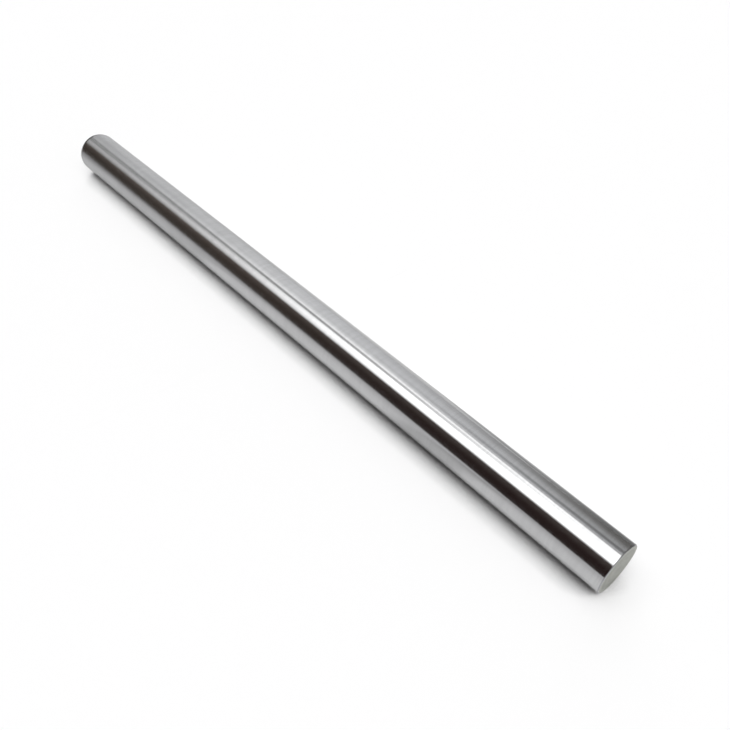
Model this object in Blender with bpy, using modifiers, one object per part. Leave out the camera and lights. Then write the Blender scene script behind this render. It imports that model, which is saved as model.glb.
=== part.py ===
"""Rail shaft: one straight round bar that linear bearings run on, lying on a level floor.

The bar is bearing steel, hardened, ground round and plated with hard chrome. Both ends are
faced square. The plain end, at +X, only has its edge broken by a small turned cut. The
lead-in end, at -X, has a longer and shallower cut that starts the shaft into a bearing.
Polishing rolls over the shoulder of each cut. There is no bore, thread, keyway or flat.

Metres, +Z up. The shaft lies along X. The origin is on the floor under its middle.
"""

import math

import bpy

DIAMETER = 0.030
LENGTH = 0.500

# The cut that breaks the plain end's edge. Its angle is measured from the shaft's axis.
PLAIN_CUT_DEPTH = 0.0005
PLAIN_CUT_ANGLE = math.radians(45)
PLAIN_SHOULDER_RADIUS = 0.0006

# The shallow cut at the lead-in end, measured in the same way.
LEAD_IN_DEPTH = 0.0005
LEAD_IN_ANGLE = math.radians(15)
LEAD_IN_SHOULDER_RADIUS = 0.003

# Deburring rounds the rim of each faced end.
RIM_RADIUS = 0.0002

# Fineness of the turned surface: sides round the shaft, and steps in each small arc.
SIDES = 96
ARC_STEPS = 3

# Edges sharper than this stay crisp when the surface is shaded smooth.
CRISP_EDGE_ANGLE = math.radians(20)

# Points closer than this are one point: only those on the shaft's axis are.
WELD_DISTANCE = 0.00001


def material(name, colour, roughness):
    """A bare metal finish."""
    made = bpy.data.materials.new(name)
    made.use_nodes = True
    shader = made.node_tree.nodes["Principled BSDF"]
    shader.inputs["Base Color"].default_value = (*colour, 1)
    shader.inputs["Metallic"].default_value = 1
    shader.inputs["Roughness"].default_value = roughness
    made.diffuse_color = (*colour, 1)
    return made


def arc(centre, radius, start, end):
    """(radius, depth) points of an arc, from one direction to another, measured from straight outward."""
    points = []
    for step in range(ARC_STEPS + 1):
        turn = start + (end - start) * step / ARC_STEPS
        points.append((centre[0] + radius * math.cos(turn), centre[1] - radius * math.sin(turn)))
    return points


def end_outline(cut_depth, cut_angle, shoulder_radius):
    """(radius, depth) points of one end, from the centre of its face out to the ground surface.

    Depth is measured from the face into the bar. Each arc touches both lines that it joins.
    """
    outer = DIAMETER / 2
    facing = math.pi / 2
    cut_length = cut_depth / math.tan(cut_angle)
    rim_reach = RIM_RADIUS * math.tan((facing - cut_angle) / 2)
    shoulder_reach = shoulder_radius * math.tan(cut_angle / 2)
    rim_centre = (outer - cut_depth - rim_reach, RIM_RADIUS)
    shoulder_centre = (outer - shoulder_radius, cut_length + shoulder_reach)
    rim = arc(rim_centre, RIM_RADIUS, facing, cut_angle)
    shoulder = arc(shoulder_centre, shoulder_radius, cut_angle, 0)
    return [(0, 0)] + rim + shoulder


def shaft_outline():
    """(radius, height) points of the bar standing on its lead-in end, from the top face down to the bottom face."""
    plain_end = end_outline(PLAIN_CUT_DEPTH, PLAIN_CUT_ANGLE, PLAIN_SHOULDER_RADIUS)
    lead_in_end = end_outline(LEAD_IN_DEPTH, LEAD_IN_ANGLE, LEAD_IN_SHOULDER_RADIUS)
    top = [(radius, LENGTH / 2 - depth) for radius, depth in plain_end]
    bottom = [(radius, depth - LENGTH / 2) for radius, depth in reversed(lead_in_end)]
    return top + bottom


def turned(name, outline):
    """A solid turned round the Z axis from an outline that runs down its outer side."""
    profile = bpy.data.meshes.new(name + "_profile")
    corners = [(radius, 0, height) for radius, height in outline]
    lines = [(index, index + 1) for index in range(len(outline) - 1)]
    profile.from_pydata(corners, lines, [])
    piece = bpy.data.objects.new(name, profile)
    bpy.context.scene.collection.objects.link(piece)

    screw = piece.modifiers.new("turn", "SCREW")
    screw.axis = "Z"
    screw.angle = 2 * math.pi
    screw.steps = SIDES
    screw.render_steps = SIDES
    screw.use_merge_vertices = True
    screw.merge_threshold = WELD_DISTANCE

    graph = bpy.context.evaluated_depsgraph_get()
    solid = bpy.data.meshes.new_from_object(piece.evaluated_get(graph))
    solid.name = name
    piece.modifiers.clear()
    piece.data = solid
    bpy.data.meshes.remove(profile)
    solid.shade_smooth()
    solid.set_sharp_from_angle(angle=CRISP_EDGE_ANGLE)
    return piece


def finish_surfaces(piece):
    """Gives the ground surface its polish, and the two faced ends their plain matte steel."""
    solid = piece.data
    solid.materials.append(material("ground_chrome", (0.56, 0.55, 0.54), 0.12))
    solid.materials.append(material("faced_steel", (0.38, 0.38, 0.35), 0.55))
    for face in solid.polygons:
        square_to_axis = abs(face.normal.z) > math.cos(CRISP_EDGE_ANGLE / 2)
        face.material_index = 1 if square_to_axis else 0


for leftover in list(bpy.data.objects):
    bpy.data.objects.remove(leftover)

shaft = turned("shaft", shaft_outline())
finish_surfaces(shaft)
shaft.rotation_euler = (0, math.pi / 2, 0)
shaft.location = (0, 0, DIAMETER / 2)

rail_shaft = bpy.data.collections.new("rail_shaft")
bpy.context.scene.collection.children.link(rail_shaft)
bpy.context.scene.collection.objects.unlink(shaft)
rail_shaft.objects.link(shaft)
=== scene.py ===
import math

import bmesh
import bpy
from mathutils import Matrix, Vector


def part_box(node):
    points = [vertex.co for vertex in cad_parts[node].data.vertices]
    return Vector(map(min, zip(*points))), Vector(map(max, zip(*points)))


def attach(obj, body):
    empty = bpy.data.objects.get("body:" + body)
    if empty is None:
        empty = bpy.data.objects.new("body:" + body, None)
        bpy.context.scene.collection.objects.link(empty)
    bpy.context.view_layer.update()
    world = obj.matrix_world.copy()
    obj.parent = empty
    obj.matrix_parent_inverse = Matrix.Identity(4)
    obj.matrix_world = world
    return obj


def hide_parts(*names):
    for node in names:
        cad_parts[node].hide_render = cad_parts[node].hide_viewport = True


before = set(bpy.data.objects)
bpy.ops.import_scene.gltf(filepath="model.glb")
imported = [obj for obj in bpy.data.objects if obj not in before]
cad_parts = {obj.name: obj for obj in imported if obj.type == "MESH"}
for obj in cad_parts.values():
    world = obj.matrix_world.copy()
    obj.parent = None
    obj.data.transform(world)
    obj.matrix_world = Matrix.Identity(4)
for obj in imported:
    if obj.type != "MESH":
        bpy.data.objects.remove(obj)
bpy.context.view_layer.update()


# The shaft: one bar of bearing steel, hardened, ground round and plated with hard chrome.
# Both ends are faced square and their edges broken by a turned cut, small and steep at the plain
# end, long and shallow at the lead-in end. The bar is one piece, and nothing is fixed to it.

shaft_low, shaft_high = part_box("shaft")
SHAFT_LENGTH = shaft_high.x - shaft_low.x
SHAFT_RADIUS = (shaft_high.z - shaft_low.z) / 2
SHAFT_SIDES = 320

# Each cut: how deep it goes, its angle from the shaft's axis, and the polished round of its shoulder.
PLAIN_CUT = (0.0005, math.radians(45), 0.0006)
LEAD_IN_CUT = (0.0005, math.radians(15), 0.0030)

# Deburring rounds the rim of each faced end. Each small arc has this many steps.
RIM_RADIUS = 0.0002
ARC_STEPS = 8

# Rings beside each arc, and others along the bar, hold its straight stretches true when the surface
# is shaded smooth.
HOLDING_STEP = 0.0001
BODY_RINGS = 100

# Points closer than this are one point: only those on the shaft's axis are.
AXIS_WELD = 0.00001


def arc(centre, radius, start, end):
    """(radius, depth) points of an arc, from one direction to another, measured from straight outward."""
    points = []
    for step in range(ARC_STEPS + 1):
        turn = start + (end - start) * step / ARC_STEPS
        points.append((centre[0] + radius * math.cos(turn), centre[1] - radius * math.sin(turn)))
    return points


def end_outline(cut_depth, cut_angle, shoulder_radius):
    """(radius, depth) points of one end, from the centre of its face out to the ground surface.

    Depth is measured from the face into the bar. The rim's arc and the shoulder's touch the cut's line.
    """
    facing = math.pi / 2
    cut_length = cut_depth / math.tan(cut_angle)
    rim_reach = RIM_RADIUS * math.tan((facing - cut_angle) / 2)
    shoulder_reach = shoulder_radius * math.tan(cut_angle / 2)
    rim_centre = (SHAFT_RADIUS - cut_depth - rim_reach, RIM_RADIUS)
    shoulder_centre = (SHAFT_RADIUS - shoulder_radius, cut_length + shoulder_reach)
    face = [(0, 0), (rim_centre[0] - HOLDING_STEP, 0)]
    rim = arc(rim_centre, RIM_RADIUS, facing, cut_angle)
    shoulder = arc(shoulder_centre, shoulder_radius, cut_angle, 0)
    return face + rim + shoulder + [(SHAFT_RADIUS, shoulder_centre[1] + HOLDING_STEP)]


def turned_bar():
    """The bar turned round its own Z axis, from an outline that runs down from its plain end."""
    half = SHAFT_LENGTH / 2
    top = [(radius, half - depth) for radius, depth in end_outline(*PLAIN_CUT)]
    bottom = [(radius, depth - half) for radius, depth in reversed(end_outline(*LEAD_IN_CUT))]
    first, last = top[-1][1], bottom[0][1]
    body = [(SHAFT_RADIUS, first + (last - first) * ring / BODY_RINGS) for ring in range(1, BODY_RINGS)]
    outline = top + body + bottom

    profile = bpy.data.meshes.new("half_outline")
    lines = [(index, index + 1) for index in range(len(outline) - 1)]
    profile.from_pydata([(radius, 0, height) for radius, height in outline], lines, [])
    bar = bpy.data.objects.new("ground_shaft", profile)
    bpy.context.scene.collection.objects.link(bar)

    screw = bar.modifiers.new("turn", "SCREW")
    screw.axis = "Z"
    screw.angle = 2 * math.pi
    screw.steps = SHAFT_SIDES
    screw.render_steps = SHAFT_SIDES
    screw.use_merge_vertices = True
    screw.merge_threshold = AXIS_WELD

    graph = bpy.context.evaluated_depsgraph_get()
    solid = bpy.data.meshes.new_from_object(bar.evaluated_get(graph))
    bar.modifiers.clear()
    bar.data = solid
    bpy.data.meshes.remove(profile)
    solid.shade_smooth()
    return bar


class Wire:
    """One output in a node tree. Sums on it add Math nodes, and node() adds any other node."""

    # A Mix node has sockets for each kind of value. These are the places of those for colours.
    MIX_MASK = 0
    MIX_UNDER = 6
    MIX_OVER = 7
    MIX_RESULT = 2

    def __init__(self, tree, socket=None):
        self.tree = tree
        self.socket = socket

    def node(self, kind, settings, sockets, output=0):
        """Adds a node: its settings first, then a value or a wire for each socket that is named."""
        made = self.tree.nodes.new(kind)
        for name, value in settings.items():
            setattr(made, name, value)
        for name, value in sockets.items():
            if isinstance(value, Wire):
                self.tree.links.new(value.socket, made.inputs[name])
            else:
                made.inputs[name].default_value = value
        return Wire(self.tree, made.outputs[output] if made.outputs else None)

    def output(self, name):
        """Another output of the node that this wire leaves."""
        return Wire(self.tree, self.socket.node.outputs[name])

    def maths(self, operation, *values):
        """A Math node of this operation on these values."""
        return self.node("ShaderNodeMath", {"operation": operation}, dict(enumerate(values)))

    def __add__(self, other):
        return self.maths("ADD", self, other)

    def __sub__(self, other):
        return self.maths("SUBTRACT", self, other)

    def __rsub__(self, other):
        return self.maths("SUBTRACT", other, self)

    def __mul__(self, other):
        return self.maths("MULTIPLY", self, other)

    __radd__ = __add__
    __rmul__ = __mul__

    def step(self, low, high):
        """0 below low, 1 above high, and smooth between them."""
        ends = {"Value": self, "From Min": low, "From Max": high}
        return self.node("ShaderNodeMapRange", {"interpolation_type": "SMOOTHSTEP"}, ends)

    def blend(self, under, over):
        """The colour under where this mask is 0, and the colour over where it is 1."""
        under, over = [colour if isinstance(colour, Wire) else (*colour, 1) for colour in (under, over)]
        sockets = {self.MIX_MASK: self, self.MIX_UNDER: under, self.MIX_OVER: over}
        return self.node("ShaderNodeMix", {"data_type": "RGBA"}, sockets, self.MIX_RESULT)

    def mix_shaders(self, under, over):
        """The shader under where this mask is 0, and the shader over where it is 1."""
        return self.node("ShaderNodeMixShader", {}, {0: self, 1: under, 2: over})


def new_material(name):
    """An empty material, and the wire that its nodes start from."""
    made = bpy.data.materials.new(name)
    made.use_nodes = True
    made.node_tree.nodes.clear()
    return made, Wire(made.node_tree)


def marks(start, across, along, detail, seed):
    """Noise fixed to the bar, with so many waves a metre across it and along it."""
    place = start.node("ShaderNodeTexCoord", {}, {}, "Object")
    drawn = place.node(
        "ShaderNodeVectorMath", {"operation": "MULTIPLY_ADD"},
        {0: place, 1: (across, across, along), 2: (seed, seed, seed)},
    )
    return start.node("ShaderNodeTexNoise", {}, {"Vector": drawn, "Scale": 1.0, "Detail": detail}, "Fac")


def metal(start, colour, roughness, height, depth, **constants):
    """The shader of a bare metal, with marks of a real depth, joined to its material's output."""
    normal = start.node(
        "ShaderNodeBump", {}, {"Strength": 1.0, "Distance": depth, "Height": height}, "Normal"
    )
    sockets = {"Base Color": colour, "Metallic": 1.0, "Roughness": roughness, "Normal": normal}
    sockets.update({name.replace("_", " "): value for name, value in constants.items()})
    shader = start.node("ShaderNodeBsdfPrincipled", {}, sockets)
    start.node("ShaderNodeOutputMaterial", {}, {"Surface": shader})


# Hard chrome is a little darker than polished steel, and greyer than a mirror where it is seen aslant.
CHROME_COLOUR = (0.524, 0.526, 0.531)
CHROME_WORN = (0.456, 0.457, 0.461)
CHROME_EDGE = (0.81, 0.81, 0.81, 1)
CHROME_ROUGHNESS = 0.17
CHROME_ROUGHNESS_SPREAD = 0.02

# The chrome's marks: waves a metre across the bar and along it, their fineness and a seed. They are the
# lines of the grinding wheel, its wider passes, and a faint cloud left by handling.
GRINDING_LINES = (40, 1600, 2, 0.3)
WHEEL_PASSES = (8, 120, 3, 4.1)
HANDLING_CLOUD = (60, 22, 4, 9.7)

# Where each kind of mark starts to wear the colour and where it has worn it most, and its share.
LINES_WEAR = (0.35, 0.65)
LINES_SHARE = 0.35
PASSES_WEAR = (0.35, 0.75)
PASSES_SHARE = 0.35
CLOUD_WEAR = (0.4, 0.8)
CLOUD_SHARE = 0.3

# How deep the ground surface is, and the parts of that which lines and passes make.
GRINDING_DEPTH = 0.0000012
LINES_HEIGHT = 0.4
PASSES_HEIGHT = 0.6

# Grinding lines run round the bar, so they spread a reflection along it, a quarter turn from them.
GRINDING_STRETCH = 1.0
QUARTER_TURN = 0.25


def ground_chrome():
    """Hard chrome over ground steel: bright, with fine grinding lines that run round the bar."""
    made, start = new_material("ground_chrome")
    lines = marks(start, *GRINDING_LINES)
    passes = marks(start, *WHEEL_PASSES)
    cloud = marks(start, *HANDLING_CLOUD)
    worn = lines.step(*LINES_WEAR) * LINES_SHARE + passes.step(*PASSES_WEAR) * PASSES_SHARE
    worn = worn + cloud.step(*CLOUD_WEAR) * CLOUD_SHARE
    metal(
        start, worn.blend(CHROME_COLOUR, CHROME_WORN),
        CHROME_ROUGHNESS + (lines + cloud) * CHROME_ROUGHNESS_SPREAD,
        lines * LINES_HEIGHT + passes * PASSES_HEIGHT, GRINDING_DEPTH,
        Specular_Tint=CHROME_EDGE, Anisotropic=GRINDING_STRETCH, Anisotropic_Rotation=QUARTER_TURN,
    )
    return made


# The cuts are darker than the ground length. Their lines are given as the chrome's marks are.
CUT_COLOUR = (0.40, 0.40, 0.41)
CUT_WORN = (0.33, 0.33, 0.34)
CUT_ROUGHNESS = 0.16
CUT_ROUGHNESS_SPREAD = 0.08
CUT_LINES = (40, 5000, 2, 2.2)
CUT_LINE_DEPTH = 0.000002


def turned_cut():
    """The cut that breaks each edge: its lines run round the bar too, and are deeper than the grinding."""
    made, start = new_material("turned_cut")
    lines = marks(start, *CUT_LINES)
    metal(
        start, lines.blend(CUT_COLOUR, CUT_WORN), CUT_ROUGHNESS + lines * CUT_ROUGHNESS_SPREAD,
        lines, CUT_LINE_DEPTH, Specular_Tint=CHROME_EDGE,
    )
    return made


# The faces are bare steel: matte, and a warmer grey than the chrome.
FACE_COLOUR = (0.426, 0.432, 0.403)
FACE_DULL = (0.235, 0.238, 0.222)
FACE_EDGE = (0.9, 0.9, 0.88, 1)
FACE_ROUGHNESS = 0.42
FACE_ROUGHNESS_SPREAD = 0.10
FACE_STRETCH = 0.35

# The facing tool's rings, as waves a metre outward from the centre: those of its feed, and the wide
# faint ones of its chatter. Then their fineness.
FEED_RINGS = 4200
CHATTER_RINGS = 650
RING_FINENESS = 3.0

# The thin bloom and the specks on the faces, given as the chrome's marks are.
BLOOM = (260, 1, 4, 6.5)
SPECKS = (3200, 1, 2, 1.4)

# Where each of these starts to dull the steel and where it dulls it most, and its share.
FEED_DULL = (0.3, 0.7)
FEED_SHARE = 0.25
CHATTER_DULL = (0.35, 0.65)
CHATTER_SHARE = 0.3
BLOOM_DULL = (0.3, 0.7)
BLOOM_SHARE = 0.25
SPECKS_DULL = (0.35, 0.7)
SPECKS_SHARE = 0.2

# How deep the faced surface is, and the parts of that which the feed's rings and the specks make.
FACING_DEPTH = 0.000004
FEED_HEIGHT = 0.7
SPECKS_HEIGHT = 0.3

# Deburring leaves the rim of each face brighter, fading in between these distances from the centre.
BURNISHED_RIM = (0.0118, 0.0136)
BURNISHED_SHARE = 0.85

# The directions that lie in the faces, square to the bar's axis.
IN_THE_FACE = (1, 1, 0)


def rings(outward, waves):
    """Noise in rings round the bar's axis, with so many waves a metre outward."""
    drawn = {"W": outward * waves, "Scale": 1.0, "Detail": RING_FINENESS}
    return outward.node("ShaderNodeTexNoise", {"noise_dimensions": "1D"}, drawn, "Fac")


def faced_steel():
    """Bare steel faced in the lathe: matte, with rings left by the tool and a thin dull bloom."""
    made, start = new_material("faced_steel")
    place = start.node("ShaderNodeTexCoord", {}, {}, "Object")
    flat = place.node("ShaderNodeVectorMath", {"operation": "MULTIPLY"}, {0: place, 1: IN_THE_FACE})
    outward = flat.node("ShaderNodeVectorMath", {"operation": "LENGTH"}, {0: flat}, "Value")
    feed = rings(outward, FEED_RINGS)
    chatter = rings(outward, CHATTER_RINGS)
    bloom = marks(start, *BLOOM)
    specks = marks(start, *SPECKS)
    dull = feed.step(*FEED_DULL) * FEED_SHARE + chatter.step(*CHATTER_DULL) * CHATTER_SHARE
    dull = dull + bloom.step(*BLOOM_DULL) * BLOOM_SHARE + specks.step(*SPECKS_DULL) * SPECKS_SHARE
    dull = dull * (1 - outward.step(*BURNISHED_RIM) * BURNISHED_SHARE)
    metal(
        start, dull.blend(FACE_COLOUR, FACE_DULL), FACE_ROUGHNESS + bloom * FACE_ROUGHNESS_SPREAD,
        feed * FEED_HEIGHT + specks * SPECKS_HEIGHT, FACING_DEPTH,
        Specular_Tint=FACE_EDGE, Anisotropic=FACE_STRETCH, Anisotropic_Rotation=QUARTER_TURN,
    )
    return made


# What lies within FACE_TILT of square to the axis is an end's face. What slopes by more than CUT_TILT
# belongs to a cut, its shoulder or its rim, and the rest is the ground length.
FACE_TILT = math.radians(2)
CUT_TILT = math.radians(4)

# The finishes' places among the bar's materials. The chrome comes first.
CUT_SLOT = 1
FACE_SLOT = 2


def finish_bar(bar):
    """Chrome on the ground length, a turned cut at each end of it, and bare steel on the faces."""
    for finish in (ground_chrome(), turned_cut(), faced_steel()):
        bar.data.materials.append(finish)
    for face in bar.data.polygons:
        slope = math.asin(min(1, abs(face.normal.z)))
        if slope > math.pi / 2 - FACE_TILT:
            face.material_index = FACE_SLOT
        elif slope > CUT_TILT:
            face.material_index = CUT_SLOT


ground_shaft = turned_bar()
finish_bar(ground_shaft)
ground_shaft.rotation_euler = (0, math.pi / 2, 0)
ground_shaft.location = (shaft_low + shaft_high) / 2
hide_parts("shaft")
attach(ground_shaft, "root")


# The floor that the shaft lies on: a wide sheet of matte white board, plain and seamless apart from a
# painted contact shadow close under the shaft and painted shade seen only in the shaft's mirror.
# It isn't part of the object, and nothing holds the shaft to it.

FLOOR_RADIUS = 30
FLOOR_SIDES = 64
FLOOR_COLOUR = (0.92, 0.92, 0.925, 1)
WHITE = (1, 1, 1, 1)
BLACK = (0, 0, 0, 1)

# The board's tone follows how much sky the bar leaves open, from 0 to 1, looked up this far and with
# so many rays. Close under the bar a painted shadow darkens the board, and in the open it is partly the
# plain white of a backdrop.
SKY_REACH = 0.02
SKY_RAYS = 4
PAINTED_SHADOW_COLOUR = (0.11, 0.11, 0.115, 1)
PAINTED_SHADOW_SKY = (0.16, 0.54)
OPEN_SKY = (0.50, 0.74)
OPEN_WHITE = 0.5

# Painted light: towards the lead-in end the painted shadow is made lighter, as if the bar left it this
# much more sky. It fades between these places along the bar, in metres from its middle.
PAINTED_SHADOW_LIFT = 0.055
PAINTED_SHADOW_LIFT_FADE = (-0.25, 0.06)

# Painted shade, seen only in the bar's mirror: there the board is painted darker towards the front, behind
# the plain end along a slanting line, in front past the lead-in end, and in patches: by how much, and
# where, in metres from the bar's middle.
FRONT_PAINTED_SHADE = 0.27
FRONT_ACROSS = (0.0, 0.13)
BEHIND_PAINTED_SHADE = 0.72
BEHIND_ACROSS = (0.03, 0.08)
BEHIND_ALONG = (0.10, 0.25)
BEHIND_SLANT = 0.2
PAST_END_PAINTED_SHADE = 0.24
PAST_END_ACROSS = (0.01, 0.07)
PAST_END_ALONG = (-0.38, -0.25)

# Each patch of painted shade: its middle along the bar, half its width, and by how much it darkens the
# board in the mirror.
PAINTED_SHADE_PATCHES = ((-0.24, 0.11, 0.10), (-0.115, 0.018, 0.14), (0.127, 0.026, 0.23))
PATCH_SOFT = 0.02


def line(value, middle, half_width, soft):
    """1 where a wire's value is within half_width of the middle, fading over soft at each side."""
    away = (value - middle).maths("ABSOLUTE", value - middle) - half_width
    return 1 - away.step(-soft / 2, soft / 2)


def painted_mirror_shade(along, across):
    """By how much each place of the board is painted darker in the bar's mirror."""
    front = 0 - across
    behind = across.step(*BEHIND_ACROSS) * (along + across * BEHIND_SLANT).step(*BEHIND_ALONG)
    past_end = front.step(*PAST_END_ACROSS) * (1 - along.step(*PAST_END_ALONG))
    dim = front.step(*FRONT_ACROSS) * FRONT_PAINTED_SHADE
    dim = dim + behind * BEHIND_PAINTED_SHADE
    dim = dim + past_end * PAST_END_PAINTED_SHADE
    for middle, half_width, depth in PAINTED_SHADE_PATCHES:
        dim = dim + line(along, middle, half_width, PATCH_SOFT) * depth
    return dim


def white_board():
    """Matte white board, with the bar's cast shadow and a painted shadow close under the bar, and painted
    shade in places in the bar's mirror.
    """
    made, start = new_material("white_board")
    made.cycles.emission_sampling = "NONE"
    sky = start.node("ShaderNodeAmbientOcclusion", {"samples": SKY_RAYS}, {"Distance": SKY_REACH}, "AO")
    # Painted shadow: a dark board, mixed in close under the bar where it leaves little sky open.
    painted_shadow_board = start.node("ShaderNodeBsdfDiffuse", {}, {"Color": PAINTED_SHADOW_COLOUR})
    open_board = start.node("ShaderNodeBsdfDiffuse", {}, {"Color": FLOOR_COLOUR})
    white = start.node("ShaderNodeEmission", {}, {"Color": WHITE, "Strength": 1.0})
    # A black board, mixed in as painted shade where the bar mirrors the board.
    dark = start.node("ShaderNodeBsdfDiffuse", {}, {"Color": BLACK})

    camera_ray = start.node("ShaderNodeLightPath", {}, {}, "Is Camera Ray")
    mirrored = camera_ray.output("Is Glossy Ray")
    seen = camera_ray + mirrored + camera_ray.output("Is Transmission Ray")
    place = start.node("ShaderNodeTexCoord", {}, {}, "Object")
    along = place.node("ShaderNodeSeparateXYZ", {}, {"Vector": place}, "X")
    across = along.output("Y")

    # Painted light: the painted shadow is lifted towards the lead-in end.
    painted_lift_sky = sky + (1 - along.step(*PAINTED_SHADOW_LIFT_FADE)) * PAINTED_SHADOW_LIFT
    # Painted shadow: the dark board takes over where the sky is closed.
    board = painted_lift_sky.step(*PAINTED_SHADOW_SKY).mix_shaders(painted_shadow_board, open_board)
    board = (sky.step(*OPEN_SKY) * seen * OPEN_WHITE).mix_shaders(board, white)
    # Painted shade, seen only by glossy rays: the board is darker in the bar's mirror.
    board = (painted_mirror_shade(along, across) * mirrored).mix_shaders(board, dark)
    start.node("ShaderNodeOutputMaterial", {}, {"Surface": board})
    return made


def floor_sheet():
    """A round flat sheet, level with the underside of the shaft."""
    form = bmesh.new()
    bmesh.ops.create_circle(form, cap_ends=True, segments=FLOOR_SIDES, radius=FLOOR_RADIUS)
    mesh = bpy.data.meshes.new("floor_sheet")
    form.to_mesh(mesh)
    form.free()
    mesh.materials.append(white_board())
    sheet = bpy.data.objects.new("floor_sheet", mesh)
    bpy.context.scene.collection.objects.link(sheet)
    return sheet


floor_sheet()


# The studio: a wide dome that the shaft mirrors and that lights it, not part of the object. A long soft
# light hangs overhead, the front is dark and open, and a pale wall behind dims towards the plain end.
# The camera sees through the dome to plain white.

STUDIO_RADIUS = 200
STUDIO_SEGMENTS = 64
STUDIO_RINGS = 32

# Each direction from the shaft has a turn round it, in degrees: 0 is level in front, 90 overhead and
# 180 level behind. It also has a reach along it: -1 is straight past the lead-in end and 1 straight
# past the plain end. Spans are of turns, and the third number of a span or reach is how softly its two
# ends fade. A pair of numbers is where a light starts to change and where it has changed.


def band(value, low, high, soft):
    """1 where a wire's value lies between low and high, fading over soft at each end."""
    return value.step(low - soft / 2, low + soft / 2) * (1 - value.step(high - soft / 2, high + soft / 2))


# The room in front is dark and brown. It is lighter higher up, and lighter towards the lead-in end.
ROOM = (0.026, 0.014, 0.013)
ROOM_TOP = (0.086, 0.069, 0.064)
END_ROOM = (0.090, 0.073, 0.061)
END_ROOM_TOP = (0.180, 0.150, 0.132)
ROOM_RISE = (26, 56)
END_ROOM_FADE = (-0.66, -0.52)

# The back of the room shows where the wall has faded out.
BACK = (0.106, 0.098, 0.086)
BACK_SPAN = (111, 200, 8)


def room(turn, reach):
    """The dark room in front of the shaft, and its dim back."""
    top = turn.step(*ROOM_RISE)
    open_room = top.blend(ROOM, ROOM_TOP)
    end_room = top.blend(END_ROOM, END_ROOM_TOP)
    light = (1 - reach.step(*END_ROOM_FADE)).blend(open_room, end_room)
    return band(turn, *BACK_SPAN).blend(light, BACK)


# The pale wall behind is lighter at its foot and duller past the lead-in end.
WALL = (1.00, 1.01, 1.03)
WALL_FOOT = (1.10, 1.11, 1.13)
WALL_FOOT_FADE = (125, 180)
WALL_SPAN = (107, 200, 8)
END_WALL = (0.77, 0.775, 0.785)
END_WALL_FOOT = (1.03, 1.035, 1.04)
END_WALL_FADE = (-0.68, -0.60)

# It fades out towards the plain end. The higher up, the further it reaches that way, by WALL_SLANT
# for each degree of turn above WALL_SLANT_FROM. Lower down than WALL_SLANT_TO this stays the same.
WALL_FADE = (-0.58, -0.12)
WALL_SLANT = 0.0064
WALL_SLANT_FROM = 162
WALL_SLANT_TO = 160


def wall(light, turn, reach, seam):
    """The pale wall behind. Its top follows the seam below the overhead light's gap."""
    foot = turn.step(*WALL_FOOT_FADE)
    open_wall = foot.blend(WALL, WALL_FOOT)
    end_wall = foot.blend(END_WALL, END_WALL_FOOT)
    tone = (1 - reach.step(*END_WALL_FADE)).blend(open_wall, end_wall)
    lit = reach + (turn.maths("MINIMUM", turn, WALL_SLANT_TO) - WALL_SLANT_FROM) * WALL_SLANT
    return (band(turn - seam, *WALL_SPAN) * (1 - lit.step(*WALL_FADE))).blend(light, tone)


# The roof beside the overhead light is grey past the lead-in end.
ROOF = (0.50, 0.50, 0.50)
ROOF_SPAN = (61, 108, 26)
ROOF_FADE = (-0.72, -0.56)

# The overhead light is a long strip, brighter in its heart, with a softer edge in front than behind.
STRIP = (2.15, 2.15, 2.15)
STRIP_FROM = (53.5, 62)
STRIP_TO = (104.5, 107)
STRIP_REACH = (-0.59, 0.76, 0.10)
STRIP_HEART = (3.3, 3.3, 3.3)
STRIP_HEART_SPAN = (66, 90, 20)


def overhead_light(light, turn, reach):
    """The long soft light overhead, and the grey roof past its end."""
    light = (band(turn, *ROOF_SPAN) * (1 - reach.step(*ROOF_FADE))).blend(light, ROOF)
    tone = band(turn, *STRIP_HEART_SPAN).blend(STRIP, STRIP_HEART)
    width = turn.step(*STRIP_FROM) * (1 - turn.step(*STRIP_TO))
    return (width * band(reach, *STRIP_REACH)).blend(light, tone)


# Near the overhead light's end the wall glows, and from there on its top edge is lit for a short way.
GLOW = (1.42, 1.42, 1.43)
GLOW_SPAN = (100, 148, 30)
GLOW_REACH = (-0.67, -0.57, 0.06)
LIT_EDGE = (2.10, 2.10, 2.10)
LIT_EDGE_FROM = (98, 104)
LIT_EDGE_TO = (103, 131)
LIT_EDGE_RISE = (-0.70, -0.52)
LIT_EDGE_FADE = (-0.50, -0.38)

# A dark gap lies between the overhead light and the wall, and closes towards the plain end. Past the
# lead-in end the seam there shifts to the front by so many degrees, and the wall's top follows it.
GAP = (0.08, 0.08, 0.08)
GAP_MIDDLE = 95
GAP_HALF_WIDTH = 5.8
GAP_SOFT = 4
GAP_FADE = (-0.47, -0.28)
SEAM_SHIFT = -8
SEAM_FADE = (-0.76, -0.54)

# The shadow of the light's frame lies behind, and fades out towards the lead-in end. It slants lower
# towards the plain end, by so many degrees over a reach of 1.
SHADE = (0.06, 0.06, 0.06)
SHADE_MIDDLE = 128.5
SHADE_SLANT = 32
SHADE_HALF_WIDTH = 6
SHADE_SOFT = 7
SHADE_FADE = (-0.50, -0.22)


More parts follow.
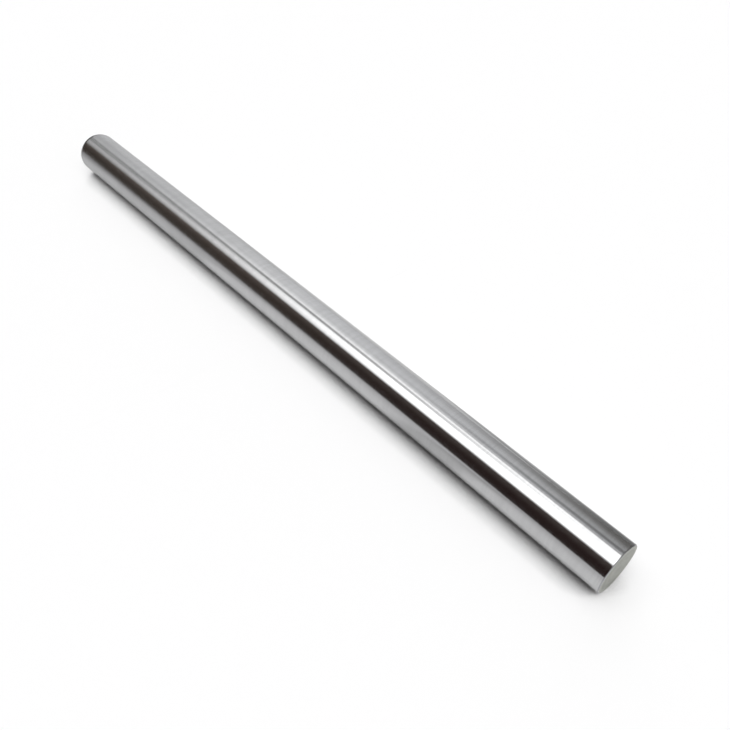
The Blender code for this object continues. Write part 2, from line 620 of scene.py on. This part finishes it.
def wall_top(light, turn, reach, seam):
    """The glow and the lit edge at the wall's top, the dark gap above it and the shadow on it."""
    light = (band(turn, *GLOW_SPAN) * band(reach, *GLOW_REACH)).blend(light, GLOW)
    edge = turn.step(*LIT_EDGE_FROM) * (1 - turn.step(*LIT_EDGE_TO))
    edge = edge * reach.step(*LIT_EDGE_RISE) * (1 - reach.step(*LIT_EDGE_FADE))
    light = edge.blend(light, LIT_EDGE)
    gap = line(turn - seam, GAP_MIDDLE, GAP_HALF_WIDTH, GAP_SOFT) * (1 - reach.step(*GAP_FADE))
    light = gap.blend(light, GAP)
    shade = line(turn - reach * SHADE_SLANT, SHADE_MIDDLE, SHADE_HALF_WIDTH, SHADE_SOFT)
    return (shade * reach.step(*SHADE_FADE)).blend(light, SHADE)


# The room is dark straight past the lead-in end. Towards the plain end it turns pale, first behind
# and then all round.
DARK_END = (0.02, 0.02, 0.02)
DARK_END_FADE = (-0.93, -0.83)
PALE_BACK = (0.42, 0.42, 0.41)
PALE_BACK_FROM = (107, 115)
PALE_BACK_FADE = (0.08, 0.40)
PALE_END = (0.75, 0.75, 0.73)
PALE_END_FADE = (0.66, 0.86)


def past_the_ends(light, turn, reach):
    """What the shaft mirrors past its two ends."""
    light = (1 - reach.step(*DARK_END_FADE)).blend(light, DARK_END)
    light = (reach.step(*PALE_BACK_FADE) * turn.step(*PALE_BACK_FROM)).blend(light, PALE_BACK)
    return reach.step(*PALE_END_FADE).blend(light, PALE_END)


def studio_light():
    """The glow of the room in each direction from the shaft."""
    made, start = new_material("studio_light")
    made.cycles.emission_sampling = "NONE"
    place = start.node("ShaderNodeTexCoord", {}, {}, "Object")
    way = place.node("ShaderNodeVectorMath", {"operation": "NORMALIZE"}, {0: place}, "Vector")
    reach = way.node("ShaderNodeSeparateXYZ", {}, {"Vector": way}, "X")
    front = 0 - reach.output("Y")
    turn = reach.maths("ARCTAN2", reach.output("Z"), front) * math.degrees(1)
    seam = (1 - reach.step(*SEAM_FADE)) * SEAM_SHIFT

    light = room(turn, reach)
    light = wall(light, turn, reach, seam)
    light = overhead_light(light, turn, reach)
    light = wall_top(light, turn, reach, seam)
    light = past_the_ends(light, turn, reach)
    glow = start.node("ShaderNodeBsdfPrincipled", {}, {
        "Base Color": BLACK, "Specular IOR Level": 0.0,
        "Emission Color": light, "Emission Strength": 1.0,
    })
    start.node("ShaderNodeOutputMaterial", {}, {"Surface": glow})
    return made


def studio():
    """The dome, which the camera itself doesn't see."""
    form = bmesh.new()
    bmesh.ops.create_uvsphere(
        form, u_segments=STUDIO_SEGMENTS, v_segments=STUDIO_RINGS, radius=STUDIO_RADIUS
    )
    mesh = bpy.data.meshes.new("studio")
    form.to_mesh(mesh)
    form.free()
    mesh.materials.append(studio_light())
    dome = bpy.data.objects.new("studio", mesh)
    bpy.context.scene.collection.objects.link(dome)
    dome.visible_camera = False
    return dome


studio()

world = bpy.data.worlds.new("white_room")
bpy.context.scene.world = world
world.use_nodes = True
world.node_tree.nodes["Background"].inputs["Color"].default_value = WHITE


# The camera: it stands past the plain end, in front of the shaft and above it, and looks down along
# the shaft, which runs from the picture's upper left to its lower right.
# It isn't part of the object.

CAMERA_PLACE = Vector((0.3088, -0.2180, 0.3606))
CAMERA_AIM = Vector((0.0574, 0.0101, 0.0))
LENS_MM = 39.09
SENSOR_MM = 36
NEAREST_SEEN = 0.01

camera_data = bpy.data.cameras.new("camera")
camera_data.lens = LENS_MM
camera_data.sensor_width = SENSOR_MM
camera_data.clip_start = NEAREST_SEEN
camera = bpy.data.objects.new("camera", camera_data)
bpy.context.scene.collection.objects.link(camera)
camera.location = CAMERA_PLACE
camera.rotation_euler = (CAMERA_AIM - CAMERA_PLACE).to_track_quat("-Z", "Y").to_euler()
bpy.context.scene.camera = camera
bpy.context.scene.view_settings.view_transform = "Standard"
